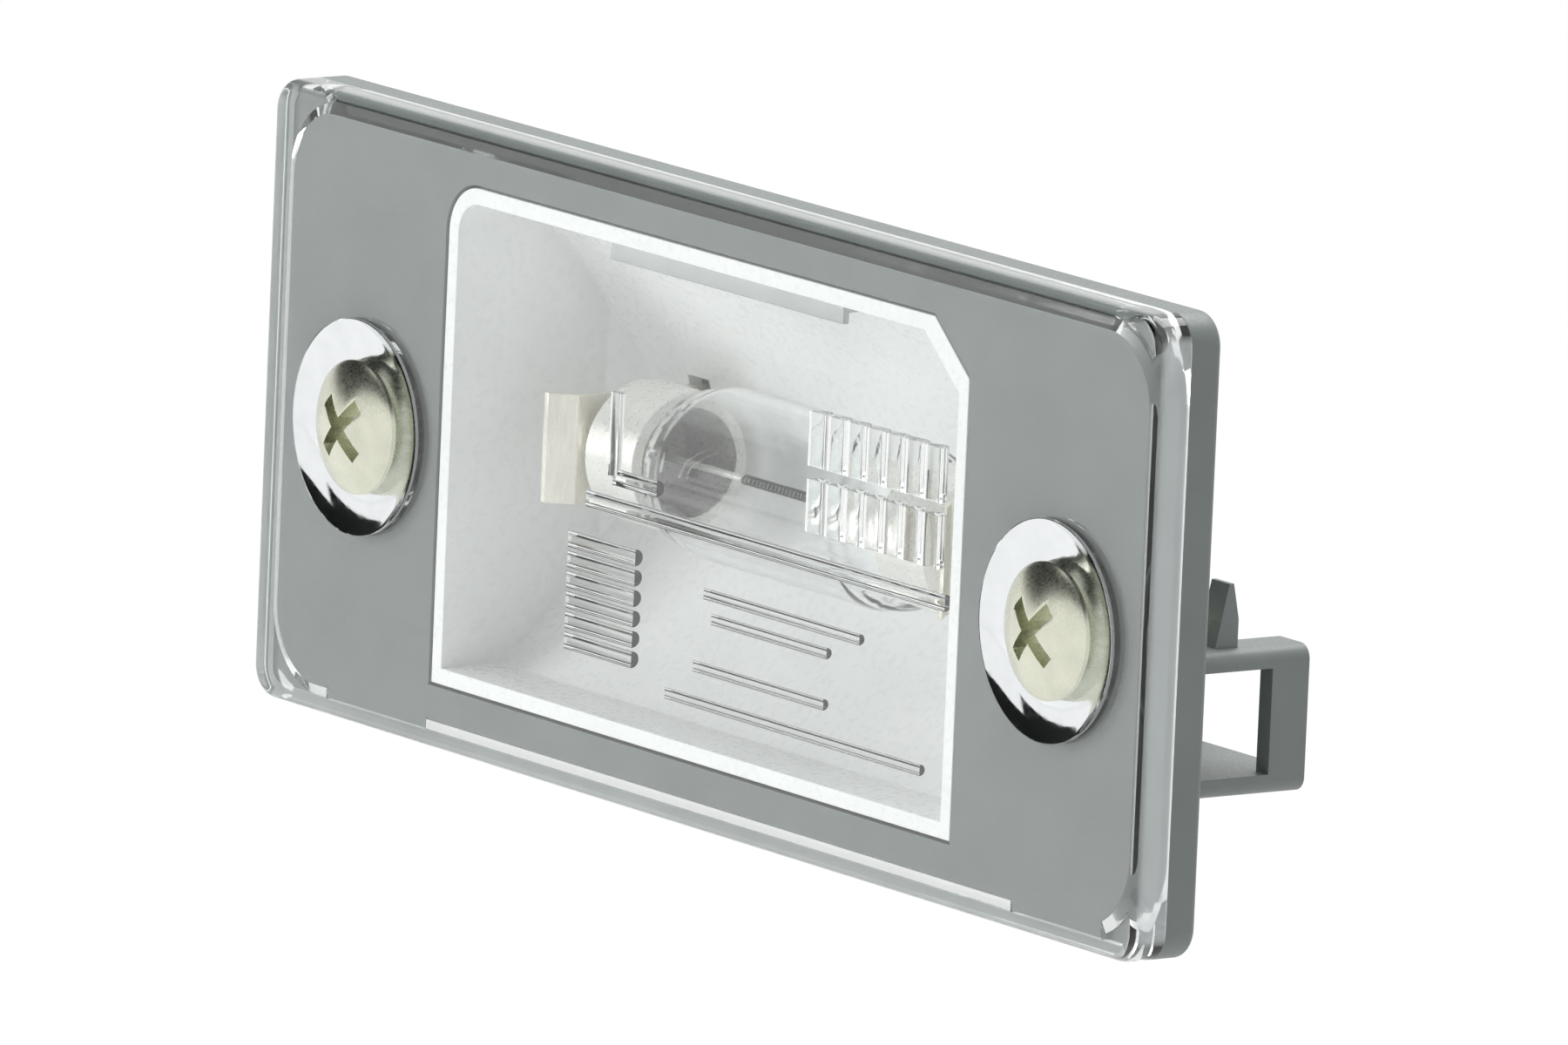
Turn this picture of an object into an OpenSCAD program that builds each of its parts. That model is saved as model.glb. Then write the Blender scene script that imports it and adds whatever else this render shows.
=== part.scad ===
// Number plate lamp: a clear lens screwed over a grey housing with a festoon bulb inside.
// X runs to the right seen from the front, Y to the back and Z up.
// The origin is midway between the two screws, on the back of the flange.

/* [Face plate] */
// Width of the lens and of the flange behind it
plate_w = 82; // [80:0.5:88]
// Height of the lens and of the flange
plate_h = 34; // [33:0.5:38]
// How far the middle of the plate lies above the screws
plate_rise = 0.85; // [0.6:0.05:1.1]
// Corner radius of the plate
plate_r = 1.8; // [1.6:0.1:2.4]

/* [Lens] */
// Depth of the lens at its edge
lens_edge = 2.05; // [1.9:0.05:2.3]
// Thickness of the lens's front wall
lens_wall = 1.2; // [1:0.05:1.4]
// Width of the rim that reaches round the housing
rim_w = 0.8; // [0.75:0.05:1]
// Rounding of the front edge
lens_round = 0.7; // [0.4:0.05:0.9]
// Flat bevel inside the rim, which gleams along the lens's lower edge
rim_bevel = 0.6; // [0.4:0.05:0.7]
// Height that the ribs on the inside stand out from the wall
optic_h = 0.8; // [0.5:0.05:0.9]

/* [Screws] */
// Distance between the two screws
screw_gap = 64; // [62:0.5:66]
// Radius of the thread behind the flange
thread_r = 2; // [1.8:0.05:2.1]
// Length of the screw behind the flange
screw_reach = 7; // [6:0.5:9]
// Radius of the screw head
head_r = 3.65; // [3.4:0.05:3.8]
// Height of the screw head's dome over the lens
dome_h = 1.1; // [0.8:0.05:1.3]
// Radius of the dished washer round the screw head
dish_r = 5.85; // [5.5:0.05:6.2]

/* [Housing] */
// Depth of the housing's flange at its edge
flange_t = 1.95; // [1.8:0.05:2.2]
// Rounding of the flange's back edge
flange_round = 0.4; // [0.2:0.05:0.5]
// Wall of the bulb box
box_wall = 1.35; // [1.2:0.05:1.5]
// Depth of the bulb box behind the flange
box_depth = 12.65; // [12.4:0.05:13]
// Depth of the plug socket behind the bulb box
socket_depth = 7.4; // [6:0.1:9]

/* [Window] */
// Left side of the window
win_left = -24.8; // [-25.2:0.1:-24.5]
// Right side of the window
win_right = 23.6; // [23.2:0.1:23.8]
// Lower side of the window
win_low = -12.85; // [-13:0.05:-12.5]
// Upper side of the window
win_high = 14.75; // [14.5:0.05:14.9]

/* [Cage] */
// Outer face of the cage at the right end of the flange
cage_x = 38; // [37.5:0.1:38.5]
// How far the cage stands out behind the flange
cage_depth = 8.7; // [8:0.1:9.5]
// Wall of the cage
cage_wall = 1.1; // [1:0.05:1.3]

/* [Bulb] */
// Length of the festoon bulb over its tips
bulb_len = 36; // [35.8:0.1:36.2]
// Radius of the bulb's glass
glass_r = 4.7; // [4.5:0.1:4.8]
// Radius of the bulb's caps
cap_r = 3.9; // [3.6:0.1:4]

/* [Hidden] */
$fn = 64;

// Small gaps that keep fitted pieces apart, and an overlap for clean cuts
fit_gap = 0.1;
cut = 1;

// Planes from front to back
front_y = -(lens_edge + flange_t);
pocket_y = front_y + lens_wall;
joint_y = -flange_t;
cup_floor_y = front_y + 2.95;
plateau_r = plate_r + 2.7;

// Stretches under the screws where the bevel inside the rim is left out, from left to right
lands = [[-34.4, -24.8], [29.3, 37.4]];

// Screw, whose countersunk head has a dome
screw_x = screw_gap / 2;
neck_r = thread_r - 0.35;
hole_r = thread_r + 0.15;
head_edge_t = 0.25;
dome_steps = 8;
tip_len = 2.2;
tip_end_r = 0.4;
cross_w = 0.85;
cross_len = 4;
cross_depth = 1.2;

// Dished washer: points of its front from the rim to the head's cone, as radius and depth
washer_t = 0.4;
washer_hole_r = thread_r + 0.1;
dish_floor = 0.7;
dish_floor_r = head_r - 0.45;
bowl = [[0, 0], [0.35, 0.26], [0.85, 0.46], [1.45, 0.6], [2.05, 0.68]];
dish_gap = 0.05;
cup_rim_r = dish_r - 0.05;
cup_mid = [dish_r - 1.25, 2.05];
cup_end_r = dish_r - 1.85;

// Window corners
win_round = 2.8;
win_chamfer_w = 3.3;
win_chamfer_h = 2.8;

// Bulb box: the corners and the top are drawn in towards the back
box_chamfer = 3;
box_slope_y = 4;
box_drop = 2.7;

// Bulb, reflector and the parabola that has the bulb in its focus
bulb_z = 1;
reflector_wall = 0.9;
reflector_gap = 0.15;
reflector_back = box_depth - box_wall - 1.1;
focus = 5;
bulb_y = reflector_back - reflector_wall - focus;
facets = 18;
tip_x = bulb_len / 2;
tip_r = 1;
cone_len = 2.4;
cap_len = 4.4;
cone_x = tip_x - cone_len;
cap_x = cone_x - cap_len;
neck_glass_r = cap_r - 0.7;
glass_end_x = cone_x + 0.2;
glass_wall = 0.5;
shoulder_x = cap_x - 2.6;
wire_r = 0.2;
filament_x = 6;
filament_r = 0.3;

// Contact springs, their rivets and the blade terminals
strip_t = 0.4;
strip_w = 6;
seat_r = 2.2;
seat_x = cone_x + (cap_r - seat_r) * cone_len / (cap_r - tip_r);
box_back_in = box_depth - box_wall;
foot_y = box_back_in - strip_t;
spring_front = bulb_y - 3.4;
rivet_r = 1.1;
rivet_hole_r = rivet_r + 0.05;
rivet_head_r = 2;
rivet_head_t = 0.5;
rivet_left_x = -14.2;
rivet_right_x = -6.8;
blade_t = 0.8;
blade_w = 4.8;
blade_reach = 6.2;
blade_foot = 4.2;
blade_shift = 0.55;

// Socket for the plug, round the two blades
socket_x = (rivet_left_x + rivet_right_x) / 2;
socket_w = 14.6;
socket_h = 7.4;
socket_wall = 1.2;

// Cage
cage_low = -8.35;
cage_high = -0.55;
cage_window_y = 6.35;
cage_round = 0.8;
cage_bridge_x = screw_x + 3.3;
hook_w = 1.6;
hook_y = 3.1;
hook_t = 1.5;
hook_tip_y = 3.9;
hook_tip_t = 0.3;
hook_high = 2.85;

// Grooves for the two seals
seal_w = 0.5;
seal_d = 0.5;
gasket_w = 1.2;
gasket_d = 0.8;

// Ribs on the inside of the lens: two rows of upright flutes, a stack of short level ribs,
// long thin ones, an angle and a ledge
flute_x = 10.2;
flute_pitch = 1.75;
flute_count = 7;
flute_r = 0.75;
flute_rows = [[1.4, 4.2], [4.9, 7.8]];
stack_left = -12.2;
stack_right = -5.9;
stack_low = -8.2;
stack_pitch = 1.1;
stack_count = 6;
stack_r = 0.45;
lines = [[0.5, 14.8, -3.5], [1.3, 11.9, -4.75], [-0.2, 11.8, -7.5], [-2.7, 20.7, -9.4]];
line_r = 0.3;
angle_x = -8.3;
angle_end = -4.2;
angle_low = 1.3;
angle_high = 5.8;
angle_r = 0.45;
ledge_left = -10.7;
ledge_right = 22.3;
ledge_z = -0.25;
ledge_r = 0.45;
root = 0.2;
rib_fn = 32;

// Heat shield
shield_left = -10;
shield_right = 11.5;
shield_front = 0.4;
shield_leg = 1;
shield_depth = 2.6;

// Ribs that the reflector rests on
rest_x = 15;
rest_z = 6;
rest_t = 1.2;
rest_reach = 4;

// Details of the contacts and of the socket
lead_in = 1.2;
foot_over = 2.4;
slot_gap = 0.4;
key_w = 2;
key_h = 0.7;
nose_w = 4;
nose_h = 1.1;
nose_back = 0.6;
nose_len = 2.6;

// Extrusions along each axis: the outline's first axis stays level
module along_x(x0, x1) {
  translate([x0, 0, 0]) rotate([90, 0, 90]) linear_extrude(x1 - x0) children();
}

module along_y(y0, y1) {
  translate([0, y1, 0]) rotate([90, 0, 0]) linear_extrude(y1 - y0) children();
}

module along_z(z0, z1) {
  translate([0, 0, z0]) linear_extrude(z1 - z0) children();
}

// Revolves about the Y axis and the X axis: the outline's second axis runs along them
module turned_y() {
  rotate([-90, 0, 0]) rotate_extrude() children();
}

module turned_x() {
  rotate([0, 90, 0]) rotate_extrude() children();
}

// Outline with round corners, centred on the plate
module round_rect(w, h, r) {
  translate([0, plate_rise]) {
    square([w - 2 * r, h], center = true);
    square([w, h - 2 * r], center = true);
    for (sx = [-1, 1], sz = [-1, 1]) {
      translate([sx * (w / 2 - r), sz * (h / 2 - r)]) circle(r);
    }
  }
}

// Half section of a plate that is thick t and has one edge rounded by b, or cut off flat
module edge_section(r, t, b, flat) {
  if (flat) {
    polygon([[0, 0], [r, 0], [r, t - b], [r - b, t], [0, t]]);
  } else {
    square([r, t - b]);
    square([r - b, t]);
    translate([r - b, t - b]) circle(b);
  }
}

// Whole section of such a plate, of width w
module plate_section(w, r, t, b, flat) {
  translate([r - w / 2, 0]) square([w - 2 * r, t]);
  for (s = [0, 1]) {
    mirror([s, 0]) translate([w / 2 - r, 0]) edge_section(r, t, b, flat);
  }
}

// Plate with round corners whose face at y = t has its edge rounded or cut off flat
module edged_plate(w, h, t, r, b, flat = false) {
  translate([0, 0, plate_rise]) {
    along_z(r - h / 2, h / 2 - r) plate_section(w, r, t, b, flat);
    along_x(r - w / 2, w / 2 - r) mirror([1, -1]) plate_section(h, r, t, b, flat);
    for (sx = [-1, 1], sz = [-1, 1]) {
      translate([sx * (w / 2 - r), 0, sz * (h / 2 - r)]) turned_y() edge_section(r, t, b, flat);
    }
  }
}

// Raised middle of the housing, smaller by g all round, from y = back to the lens's inside
module plateau(g, back) {
  w = plate_w - 2 * rim_w - 2 * g;
  h = plate_h - 2 * rim_w - 2 * g;
  translate([0, back, 0]) mirror([0, 1, 0]) {
    edged_plate(w, h, back - pocket_y, plateau_r - g, rim_bevel, true);
  }
  for (land = lands) {
    translate([land[0] + g, pocket_y, plate_rise - h / 2]) {
      cube([land[1] - land[0] - 2 * g, joint_y - pocket_y, 2 * rim_bevel]);
    }
  }
}

// Outline of the window, grown by g
module window_outline(g) {
  difference() {
    union() {
      translate([win_left - g, win_low - g]) {
        square([win_right - win_left + 2 * g, win_high - win_low - win_round + g]);
      }
      translate([win_left + win_round, win_low - g]) {
        square([win_right - win_left - win_round + g, win_high - win_low + 2 * g]);
      }
      translate([win_left + win_round, win_high - win_round]) circle(win_round + g);
    }
    polygon([
      [win_right + g + cut, win_high + g + cut],
      [win_right + g - win_chamfer_w - cut * win_chamfer_w / win_chamfer_h, win_high + g + cut],
      [win_right + g + cut, win_high + g - win_chamfer_h - cut * win_chamfer_h / win_chamfer_w]
    ]);
  }
}

// Form of the bulb box, grown by g, from the plane y0 to its back
module box_form(g, y0) {
  back = box_back_in + g;
  intersection() {
    along_y(y0, back) window_outline(g);
    along_x(win_left - 9, win_right + 9) polygon([
      [y0 - cut, win_low - g],
      [back - box_chamfer, win_low - g],
      [back, win_low - g + box_chamfer],
      [back, win_high + g - box_drop],
      [box_slope_y, win_high + g],
      [y0 - cut, win_high + g]
    ]);
    along_z(win_low - 9, win_high + 9) polygon([
      [win_left - g, y0 - cut],
      [win_right + g, y0 - cut],
      [win_right + g, back - box_chamfer],
      [win_right + g - box_chamfer, back],
      [win_left - g + box_chamfer, back],
      [win_left - g, back - box_chamfer]
    ]);
  }
}

// Everything in front of the parabola, moved back by d
function trough_y(z) = reflector_back - reflector_wall - pow(z - bulb_z, 2) / (4 * focus);

module trough(d) {
  low = win_low - 2;
  step = (win_high + 2 - low) / facets;
  along_x(win_left - 9, win_right + 9) polygon(concat(
    [for (i = [0:facets]) [trough_y(low + i * step) + d, low + i * step]],
    [[front_y - 9, win_high + 2], [front_y - 9, low]]
  ));
}

// Ring groove round the housing's plateau, and the bead that fills it
module lens_bead(g) {
  w = plate_w - rim_w + seal_w / 2 + 2 * g;
  h = plate_h - rim_w + seal_w / 2 + 2 * g;
  along_y(joint_y - g, joint_y + seal_d) difference() {
    round_rect(w, h, plate_r - rim_w / 2);
    round_rect(w - 2 * seal_w - 4 * g, h - 2 * seal_w - 4 * g, plate_r - rim_w / 2 - seal_w);
  }
}

// Ring groove behind the flange, and the gasket that fills it
module gasket_ring() {
  along_y(-gasket_d, 0) difference() {
    window_outline(box_wall + fit_gap + gasket_w);
    window_outline(box_wall + fit_gap);
  }
}

// Cup of the lens round one screw, grown by g, which the housing has a seat for
module cup_section(g) {
  polygon([
    [0, pocket_y - root],
    [cup_rim_r + g, pocket_y - root],
    [cup_rim_r + g, pocket_y],
    [cup_mid[0] + g, front_y + cup_mid[1]],
    [cup_end_r + g, cup_floor_y + g],
    [0, cup_floor_y + g]
  ]);
}

// Everything in front of the dished washer's face, moved back by t
module dish_section(r, t) {
  floor_y = front_y + dish_floor + t;
  cone_r = dish_floor_r + t * (sqrt(2) - 1);
  polygon(concat(
    [[0, front_y - cut], [r, front_y - cut], [r, front_y + t]],
    [for (i = [1:len(bowl) - 1]) [dish_r - bowl[i][0], front_y + bowl[i][1] + t]],
    [[cone_r, floor_y], [washer_hole_r, floor_y + cone_r - washer_hole_r], [0, floor_y + cone_r - washer_hole_r]]
  ));
}

// Half-round ribs on the inside of the lens, level and upright
module level_rib(x0, x1, z, r) {
  translate([x0, pocket_y, z]) rotate([0, 90, 0]) cylinder(h = x1 - x0, r = r, $fn = rib_fn);
}

module upright_rib(x, z0, z1, r, out) {
  translate([x, pocket_y + out - r, z0]) cylinder(h = z1 - z0, r = r, $fn = rib_fn);
}

// Ribs that spread the light
module optics() {
  for (row = flute_rows, i = [0:flute_count - 1]) {
    upright_rib(flute_x + i * flute_pitch, row[0], row[1], flute_r, optic_h);
  }
  for (i = [0:stack_count - 1]) {
    level_rib(stack_left, stack_right, stack_low + i * stack_pitch, stack_r);
  }
  for (line = lines) {
    level_rib(line[0], line[1], line[2], line_r);
  }
  level_rib(angle_x, angle_end, angle_low, angle_r);
  upright_rib(angle_x, angle_low, angle_high, angle_r, angle_r);
  level_rib(ledge_left, ledge_right, ledge_z, ledge_r);
}

module lens() {
  color([0.86, 0.91, 0.9, 0.45]) difference() {
    union() {
      difference() {
        mirror([0, 1, 0]) translate([0, flange_t, 0]) {
          edged_plate(plate_w, plate_h, lens_edge, plate_r, lens_round);
        }
        plateau(0, joint_y + cut);
      }
      for (s = [-1, 1]) {
        translate([s * screw_x, 0, 0]) turned_y() cup_section(0);
      }
      intersection() {
        optics();
        along_y(pocket_y - root, joint_y) window_outline(-reflector_wall);
      }
    }
    for (s = [-1, 1]) translate([s * screw_x, 0, 0]) {
      turned_y() dish_section(dish_r + dish_gap, washer_t);
      rotate([-90, 0, 0]) cylinder(h = 12, r = hole_r, center = true);
    }
  }
}

// Cage at the right end: a bracket of three walls with a window in the end wall
module cage() {
  r = cage_round;
  difference() {
    along_y(-root, cage_depth) difference() {
      union() {
        translate([win_right, cage_low]) square([cage_x - win_right - r, cage_wall]);
        translate([cage_bridge_x, cage_high - cage_wall]) square([cage_x - cage_bridge_x - r, cage_wall]);
        translate([cage_x - cage_wall, cage_low + r]) square([cage_wall, cage_high - cage_low - 2 * r]);
        for (z = [cage_low + r, cage_high - r]) translate([cage_x - r, z]) circle(r);
      }
      translate([cage_bridge_x - cut, cage_low + cage_wall]) {
        square([cage_x - cage_wall - cage_bridge_x + cut, cage_high - cage_low - 2 * cage_wall]);
      }
    }
    translate([cage_x - 3, 0, cage_low + cage_wall]) {
      cube([6, cage_window_y, cage_high - cage_low - 2 * cage_wall]);
    }
  }
  // Hook on the cage's top that the lead is clipped behind
  along_x(cage_x - r - hook_w, cage_x - r) polygon([
    [hook_y, cage_high - root],
    [hook_y + hook_t, cage_high - root],
    [hook_y + hook_t, cage_high + hook_t],
    [hook_tip_y + hook_tip_t, hook_high],
    [hook_tip_y, hook_high]
  ]);
}

// Socket that the plug of the car's loom fits into
module socket() {
  y0 = box_depth;
  translate([socket_x, 0, bulb_z]) {
    along_y(y0 - root, y0 + socket_depth) difference() {
      square([socket_w + 2 * socket_wall, socket_h + 2 * socket_wall], center = true);
      square([socket_w, socket_h], center = true);
      translate([0, -socket_h / 2]) square([key_w, 2 * key_h], center = true);
    }
    // Nose that the plug's latch snaps over
    nose_y = y0 + socket_depth - nose_back;
    translate([0, 0, socket_h / 2 + socket_wall]) along_x(-nose_w / 2, nose_w / 2) polygon([
      [nose_y - nose_len, -root],
      [nose_y - nose_len, nose_h],
      [nose_y, 0],
      [nose_y, -root]
    ]);
  }
}

module housing() {
  color([0.55, 0.58, 0.56]) difference() {
    union() {
      flange();
      plateau(fit_gap, joint_y + root);
      box_form(box_wall, -root);
      cage();
      socket();
    }
    box_form(0, pocket_y - cut);
    lens_bead(0);
    gasket_ring();
    for (s = [-1, 1]) translate([s * screw_x, 0, 0]) {
      turned_y() cup_section(fit_gap);
      translate([0, pocket_y - cut, 0]) rotate([-90, 0, 0]) cylinder(h = 6, r = hole_r);
    }
    for (x = [rivet_left_x, rivet_right_x]) {
      translate([x, box_depth, bulb_z]) rotate([90, 0, 0]) cylinder(h = 8, r = rivet_hole_r, center = true);
    }
  }
  color([0.55, 0.58, 0.56]) reflector_rests();
}

// Flange of the housing, with its back edge rounded
module flange() {
  translate([0, -flange_t, 0]) edged_plate(plate_w, plate_h, flange_t, plate_r, flange_round);
}

// Two ribs on the back of the bulb box that the reflector rests on
module reflector_rests() {
  for (s = [-1, 1]) difference() {
    translate([-rest_x, reflector_back - rest_reach, bulb_z + s * rest_z - rest_t / 2]) {
      cube([2 * rest_x, box_back_in + root - reflector_back + rest_reach, rest_t]);
    }
    trough(reflector_wall);
  }
}

module reflector() {
  color([0.95, 0.96, 0.95]) difference() {
    intersection() {
      box_form(-reflector_gap, pocket_y + reflector_gap / 2);
      trough(reflector_wall);
    }
    intersection() {
      box_form(-reflector_gap - reflector_wall, pocket_y - cut);
      trough(0);
    }
    // Slots that the contact springs come through
    for (s = [-1, 1]) {
      translate([s * (seat_x + strip_t / 2), reflector_back, bulb_z]) {
        cube([strip_t + 4 * slot_gap, 8, strip_w + 2 * slot_gap], center = true);
      }
    }
  }
}

module lens_seal() {
  color([0.78, 0.8, 0.79]) lens_bead(0);
}

module body_gasket() {
  color([0.13, 0.13, 0.13]) gasket_ring();
}

// Bent steel sheet that keeps the bulb's heat off the top of the lens
module heat_shield() {
  top = win_high - reflector_gap - reflector_wall;
  y0 = pocket_y + shield_front;
  color([0.62, 0.64, 0.64]) along_x(shield_left, shield_right) polygon([
    [y0, top],
    [y0, top - shield_leg],
    [y0 + strip_t, top - shield_leg],
    [y0 + strip_t, top - strip_t],
    [y0 + shield_depth, top - strip_t],
    [y0 + shield_depth, top]
  ]);
}

// Section of the bulb's glass from its middle to one end, grown by g
module glass_section(g) {
  e = glass_end_x + g;
  polygon([
    [0, -e],
    [neck_glass_r + g, -e],
    [neck_glass_r + g, -cap_x],
    [glass_r - 0.3 + g, -shoulder_x - 0.8],
    [glass_r + g, -shoulder_x + 0.8],
    [glass_r + g, shoulder_x - 0.8],
    [glass_r - 0.3 + g, shoulder_x + 0.8],
    [neck_glass_r + g, cap_x],
    [neck_glass_r + g, e],
    [0, e]
  ]);
}

module bulb_glass() {
  color([0.9, 0.94, 0.95, 0.4]) translate([0, bulb_y, bulb_z]) difference() {
    turned_x() glass_section(0);
    turned_x() glass_section(-glass_wall);
    rotate([0, 90, 0]) cylinder(h = bulb_len, r = wire_r, center = true);
  }
}

// Metal cap on the right end of the bulb, with the cone that sits in the spring
module bulb_cap() {
  color([0.78, 0.77, 0.72]) translate([0, bulb_y, bulb_z]) turned_x() polygon([
    [wire_r, glass_end_x],
    [neck_glass_r, glass_end_x],
    [neck_glass_r, cap_x],
    [cap_r, cap_x],
    [cap_r, cone_x],
    [tip_r, tip_x],
    [0, tip_x],
    [0, cone_x + 1],
    [wire_r, cone_x + 1]
  ]);
}

module bulb_cap_left() {
  mirror([1, 0, 0]) bulb_cap();
}

module bulb_cap_right() {
  bulb_cap();
}

module bulb_filament() {
  color([0.5, 0.5, 0.52]) translate([-filament_x, bulb_y, bulb_z]) {
    rotate([0, 90, 0]) cylinder(h = 2 * filament_x, r = filament_r);
  }
}

// Wire from the cap to one end of the filament
module bulb_wire() {
  color([0.7, 0.7, 0.68]) translate([filament_x, bulb_y, bulb_z]) {
    rotate([0, 90, 0]) cylinder(h = cone_x + 1 - filament_x, r = wire_r);
  }
}

module bulb_wire_left() {
  mirror([1, 0, 0]) bulb_wire();
}

module bulb_wire_right() {
  bulb_wire();
}

// Spring on the right of the bulb, with its foot running to x = foot_x
module contact(foot_x, rivet_x) {
  x0 = seat_x;
  x1 = seat_x + strip_t;
  color([0.8, 0.68, 0.38]) difference() {
    along_z(bulb_z - strip_w / 2, bulb_z + strip_w / 2) polygon([
      [foot_x, foot_y],
      [x0, foot_y],
      [x0, spring_front],
      [x0 + lead_in, spring_front - lead_in],
      [x1 + lead_in, spring_front - lead_in],
      [x1, spring_front],
      [x1, box_back_in],
      [foot_x, box_back_in]
    ]);
    translate([seat_x, bulb_y, bulb_z]) rotate([0, 90, 0]) cylinder(h = 6, r = seat_r, center = true);
    translate([rivet_x, foot_y, bulb_z]) rotate([90, 0, 0]) cylinder(h = 4, r = rivet_hole_r, center = true);
  }
}

module contact_left() {
  mirror([1, 0, 0]) contact(-rivet_left_x - foot_over, -rivet_left_x);
}

module contact_right() {
  contact(rivet_right_x - foot_over, rivet_right_x);
}

// Blade that stands in the socket, seen from its rivet: its foot is riveted to the back of the bulb box
module terminal() {
  h = blade_foot / 2;
  color([0.8, 0.68, 0.38]) difference() {
    translate([-blade_shift, 0, 0]) intersection() {
      along_z(-blade_w / 2, blade_w / 2) polygon([
        [-h, 0],
        [h, 0],
        [h, blade_t],
        [blade_t - h, blade_t],
        [blade_t - h, blade_reach],
        [-h, blade_reach]
      ]);
      along_x(-9, 9) polygon([
        [0, -blade_w / 2],
        [blade_reach - 1, -blade_w / 2],
        [blade_reach, 1 - blade_w / 2],
        [blade_reach, blade_w / 2 - 1],
        [blade_reach - 1, blade_w / 2],
        [0, blade_w / 2]
      ]);
    }
    rotate([90, 0, 0]) cylinder(h = 4, r = rivet_hole_r, center = true);
  }
}

module terminal_left() {
  translate([rivet_left_x, box_depth, bulb_z]) terminal();
}

module terminal_right() {
  translate([rivet_right_x, box_depth, bulb_z]) mirror([1, 0, 0]) terminal();
}

// Rivet that holds a contact spring and a blade to the wall between them
module rivet(x) {
  y0 = foot_y - rivet_head_t;
  y1 = box_depth + blade_t + rivet_head_t;
  color([0.82, 0.72, 0.45]) translate([x, 0, bulb_z]) turned_y() polygon([
    [0, y0],
    [rivet_head_r - 0.4, y0],
    [rivet_head_r - 0.2, foot_y],
    [rivet_r, foot_y],
    [rivet_r, y1 - rivet_head_t],
    [rivet_head_r - 0.5, y1 - rivet_head_t],
    [rivet_head_r - 0.7, y1],
    [0, y1]
  ]);
}

module rivet_left() {
  rivet(rivet_left_x);
}

module rivet_right() {
  rivet(rivet_right_x);
}

// Screw with a raised countersunk head and a cross recess
module screw(x) {
  ball_r = (pow(head_r, 2) + pow(dome_h, 2)) / (2 * dome_h);
  rim_a = asin(head_r / ball_r);
  cone_y = front_y + head_edge_t;
  color([0.8, 0.8, 0.7]) translate([x, 0, 0]) difference() {
    turned_y() polygon(concat(
      [for (i = [0:dome_steps]) [
        ball_r * sin(rim_a * i / dome_steps),
        front_y - dome_h + ball_r * (1 - cos(rim_a * i / dome_steps))
      ]],
      [
        [head_r, cone_y],
        [neck_r, cone_y + head_r - neck_r],
        [neck_r, 0],
        [thread_r, 0],
        [thread_r, screw_reach - tip_len],
        [tip_end_r, screw_reach],
        [0, screw_reach]
      ]
    ));
    rotate([0, 45, 0]) for (a = [0, 90]) rotate([0, a, 0]) {
      translate([0, front_y - dome_h, 0]) cube([cross_w, 2 * cross_depth, cross_len], center = true);
    }
  }
}

module screw_left() {
  screw(-screw_x);
}

module screw_right() {
  screw(screw_x);
}

// Polished dished washer that a screw head sits in
module screw_washer(x) {
  end_y = front_y + dish_floor + dish_floor_r - washer_hole_r;
  color([0.8, 0.82, 0.83]) translate([x, 0, 0]) difference() {
    turned_y() intersection() {
      dish_section(dish_r, washer_t);
      translate([washer_hole_r, front_y]) square([dish_r - washer_hole_r, end_y + washer_t - front_y]);
    }
    turned_y() dish_section(dish_r, 0);
  }
}

module screw_washer_left() {
  screw_washer(-screw_x);
}

module screw_washer_right() {
  screw_washer(screw_x);
}

lens();
housing();
reflector();
lens_seal();
body_gasket();
heat_shield();
bulb_glass();
bulb_cap_left();
bulb_cap_right();
bulb_filament();
bulb_wire_left();
bulb_wire_right();
contact_left();
contact_right();
terminal_left();
terminal_right();
rivet_left();
rivet_right();
screw_left();
screw_right();
screw_washer_left();
screw_washer_right();
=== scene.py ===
import math

import bmesh
import bpy
from bpy.props import FloatProperty, FloatVectorProperty, IntProperty, PointerProperty
from mathutils import Matrix, Vector


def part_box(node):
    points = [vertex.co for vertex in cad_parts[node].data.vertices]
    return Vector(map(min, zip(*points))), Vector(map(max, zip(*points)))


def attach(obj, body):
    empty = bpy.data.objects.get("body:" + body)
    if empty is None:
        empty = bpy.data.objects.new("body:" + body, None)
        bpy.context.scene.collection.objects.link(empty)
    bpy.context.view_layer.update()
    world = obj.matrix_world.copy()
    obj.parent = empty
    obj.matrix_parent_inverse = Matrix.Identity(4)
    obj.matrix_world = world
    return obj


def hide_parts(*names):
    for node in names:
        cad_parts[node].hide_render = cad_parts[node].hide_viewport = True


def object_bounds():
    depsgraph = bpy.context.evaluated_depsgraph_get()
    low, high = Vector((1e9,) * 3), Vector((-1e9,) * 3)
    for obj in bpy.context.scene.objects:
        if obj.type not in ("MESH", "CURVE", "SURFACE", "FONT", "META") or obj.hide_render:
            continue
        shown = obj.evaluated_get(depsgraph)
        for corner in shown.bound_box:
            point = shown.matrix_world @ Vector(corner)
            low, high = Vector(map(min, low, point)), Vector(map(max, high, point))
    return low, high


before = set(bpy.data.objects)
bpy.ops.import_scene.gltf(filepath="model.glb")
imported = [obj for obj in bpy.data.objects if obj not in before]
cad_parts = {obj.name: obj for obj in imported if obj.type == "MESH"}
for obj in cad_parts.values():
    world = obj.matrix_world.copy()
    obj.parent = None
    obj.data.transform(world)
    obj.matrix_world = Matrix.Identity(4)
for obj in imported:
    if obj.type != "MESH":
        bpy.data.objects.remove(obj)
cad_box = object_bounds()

bl_info = {
    "name": "Number Plate Lamp",
    "version": (1, 0, 0),
    "blender": (4, 5, 0),
    "location": "View3D > Sidebar > Lamp",
    "description": "Builds the finished pieces of a number plate lamp round its packed frame",
    "category": "Object",
}

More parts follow.
